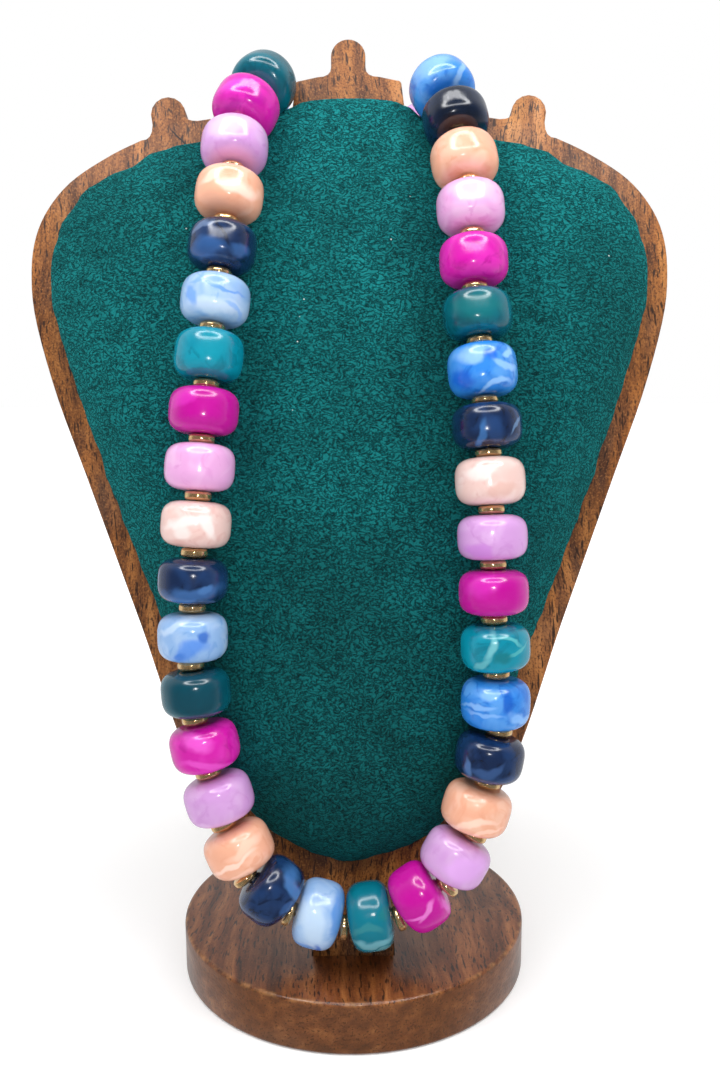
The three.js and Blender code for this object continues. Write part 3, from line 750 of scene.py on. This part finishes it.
# The last two rings made are those of the two ends, the left one first.
route = [clasp_middle - end_out, knots[0], stops[-2], *stops[:-2], stops[-1], knots[1],
         clasp_middle + end_out]
path = bpy.data.curves.new("thread_path", "CURVE")
path.dimensions = "3D"
path.bevel_depth = thread_radius
path.bevel_resolution = 2
path.use_fill_caps = True
line = path.splines.new("POLY")
line.points.add(len(route) - 1)
for point, place in zip(line.points, route):
    point.co = (*place, 1)
thread = bpy.data.objects.new("bead_thread", path)
bpy.context.scene.collection.objects.link(thread)
bpy.ops.object.select_all(action="DESELECT")
thread.select_set(True)
bpy.context.view_layer.objects.active = thread
bpy.ops.object.convert(target="MESH")
thread = bpy.context.object
bpy.ops.object.shade_smooth()
for knot in knots:
    bpy.ops.mesh.primitive_uv_sphere_add(
        segments=16, ring_count=10, radius=knot_radius, location=knot)
    bpy.ops.object.shade_smooth()
    bpy.context.object.select_set(True)
    thread.select_set(True)
    bpy.context.view_layer.objects.active = thread
    bpy.ops.object.join()
waxed = new_finish("waxed_thread")
twist = add(waxed, "TexNoise", {
    "Vector": add(waxed, "TexCoord").outputs["Object"], "Scale": 1800.0, "Detail": 2.0})
surface(waxed, {
    "Base Color": shades(waxed, twist.outputs[0], [(0.4, paint("8b6f4a")), (0.6, paint("c2a679"))]),
    "Roughness": 0.6,
    "Normal": add(waxed, "Bump", {
        "Height": twist.outputs[0], "Strength": 0.5, "Distance": 0.0002}).outputs[0],
})
thread.data.materials.append(waxed)
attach(thread, "root")
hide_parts("string_and_rings")

# Clasp
# A plain gold barrel that screws together at its middle, with two turned grooves. The thread goes
# into a hole in each end. It hangs behind the board.
clasp_radius, clasp_length, clasp_rounding = 0.004, 0.017, 0.0015
# Half the width of the joint in the middle, and where the groove of each half starts and ends.
joint_half, groove_start, groove_end = 0.0004, 0.0022, 0.0032
groove_depth, hole_rim, hole_depth = 0.0004, 0.0012, 0.003
bpy.ops.object.select_all(action="DESELECT")
bpy.ops.mesh.primitive_cylinder_add(
    vertices=48, radius=clasp_radius, depth=clasp_length, location=clasp_middle,
    rotation=(0, math.radians(90), 0))
clasp = bpy.context.object
clasp.name = "barrel_clasp"
bpy.ops.object.transform_apply(location=True, rotation=True, scale=True)
rounded = clasp.modifiers.new("rounded", "BEVEL")
rounded.width = clasp_rounding
rounded.segments = 5
apply_modifiers(clasp)
bpy.ops.object.mode_set(mode="EDIT")
for cut in (-groove_end, -groove_start, -joint_half, joint_half, groove_start, groove_end):
    bpy.ops.mesh.select_all(action="SELECT")
    bpy.ops.mesh.bisect(plane_co=clasp_middle + Vector((cut, 0, 0)), plane_no=(1, 0, 0))
bpy.ops.mesh.select_all(action="DESELECT")
bpy.ops.object.mode_set(mode="OBJECT")
for face in clasp.data.polygons:
    offset = abs(face.center.x - clasp_middle.x)
    in_groove = offset < joint_half or groove_start < offset < groove_end
    face.select = abs(face.normal.x) < 0.3 and in_groove
bpy.ops.object.mode_set(mode="EDIT")
bpy.ops.mesh.select_mode(type="FACE")
bpy.ops.mesh.inset(thickness=0.0001, depth=-groove_depth)
bpy.ops.mesh.select_all(action="DESELECT")
bpy.ops.object.mode_set(mode="OBJECT")
for face in clasp.data.polygons:
    face.select = len(face.vertices) > 8
bpy.ops.object.mode_set(mode="EDIT")
bpy.ops.mesh.inset(thickness=hole_rim, use_individual=True)
bpy.ops.mesh.inset(thickness=0.0, depth=-hole_depth, use_individual=True)
bpy.ops.object.mode_set(mode="OBJECT")
bpy.ops.object.shade_smooth_by_angle(angle=math.radians(35))
clasp.data.materials.append(gold)
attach(clasp, "root")
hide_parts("clasp")

# Floor and light
# A white table inside a white light box, with a ring of lamps overhead and a small one by the
# lens. The table shines faintly of itself, more so further out, and doesn't show in reflections.
bpy.ops.object.select_all(action="DESELECT")
bpy.ops.mesh.primitive_circle_add(vertices=96, radius=4, fill_type="NGON", location=(0, 0, 0))
floor = bpy.context.object
floor.name = "table_top"
white = new_finish("white_table")
far = add(white, "VectorMath", {0: add(white, "TexCoord").outputs["Object"]}, operation="LENGTH")
fade = add(white, "MapRange", {
    0: far.outputs["Value"], 1: 0.055, 2: 0.5, 3: 0.16, 4: 0.6}, interpolation_type="SMOOTHSTEP")
surface(white, {
    "Base Color": (0.93, 0.93, 0.93, 1),
    "Roughness": 0.9,
    "Emission Color": (1, 1, 1, 1),
    "Emission Strength": fade.outputs[0],
})
floor.data.materials.append(white)
floor.visible_glossy = False


lit_point = Vector((0, 0, 0.15))
# The ring's lamps: how many, the ring's middle and half sizes, each lamp's width and its power.
ring_lamps, ring_middle, ring_half_sizes = 18, (0, -0.24, 0.61), (0.29, 0.19)
ring_lamp_width, ring_lamp_power = 0.11, 0.20


def lamp(name, place, width, power):
    bpy.ops.object.light_add(type="AREA", location=place)
    light = bpy.context.object
    light.name = name
    light.data.shape = "DISK"
    light.data.size = width
    light.data.energy = power
    light.rotation_euler = (lit_point - Vector(place)).to_track_quat("-Z", "Y").to_euler()


for number in range(ring_lamps):
    turn = math.tau * number / ring_lamps
    across, deep = ring_half_sizes[0] * math.cos(turn), ring_half_sizes[1] * math.sin(turn)
    lamp(f"ring_{number:02d}", (across, deep + ring_middle[1], ring_middle[2]),
         ring_lamp_width, ring_lamp_power)
lamp("by_the_lens", (0.003, -0.335, 0.218), 0.034, 0.16)

# The box's walls are bright and its open front is dark, and wider open in reflections. The
# picture's background is plain white. Each set of limits holds how far towards the front a
# direction points where the walls end and where the opening is full, and how bright both are.
wall_limits, reflected_limits = (0.45, 0.78, 0.85, 0.15), (-0.25, 0.50, 0.85, 0.16)
world = bpy.data.worlds.new("light_box")
bpy.context.scene.world = world
bpy.context.scene.view_settings.view_transform = "Standard"
world.use_nodes = True
tree = world.node_tree
backdrop = tree.nodes["Background"]
backdrop.inputs["Color"].default_value = (1, 1, 1, 1)
direction = tree.nodes.new("ShaderNodeTexCoord")
frontward = tree.nodes.new("ShaderNodeVectorMath")
frontward.operation = "DOT_PRODUCT"
frontward.inputs[1].default_value = (0, -1, 0)
tree.links.new(direction.outputs["Generated"], frontward.inputs[0])
brightness = tree.nodes.new("ShaderNodeMix")
for socket, limits in ((2, wall_limits), (3, reflected_limits)):
    opening = tree.nodes.new("ShaderNodeMapRange")
    opening.interpolation_type = "SMOOTHSTEP"
    for limit, value in enumerate(limits, 1):
        opening.inputs[limit].default_value = value
    tree.links.new(frontward.outputs["Value"], opening.inputs[0])
    tree.links.new(opening.outputs[0], brightness.inputs[socket])
walls = tree.nodes.new("ShaderNodeBackground")
sight = tree.nodes.new("ShaderNodeLightPath")
choice = tree.nodes.new("ShaderNodeMixShader")
tree.links.new(sight.outputs["Is Glossy Ray"], brightness.inputs[0])
tree.links.new(brightness.outputs[0], walls.inputs["Strength"])
tree.links.new(sight.outputs["Is Camera Ray"], choice.inputs[0])
tree.links.new(walls.outputs[0], choice.inputs[1])
tree.links.new(backdrop.outputs[0], choice.inputs[2])
tree.links.new(choice.outputs[0], tree.nodes["World Output"].inputs[0])
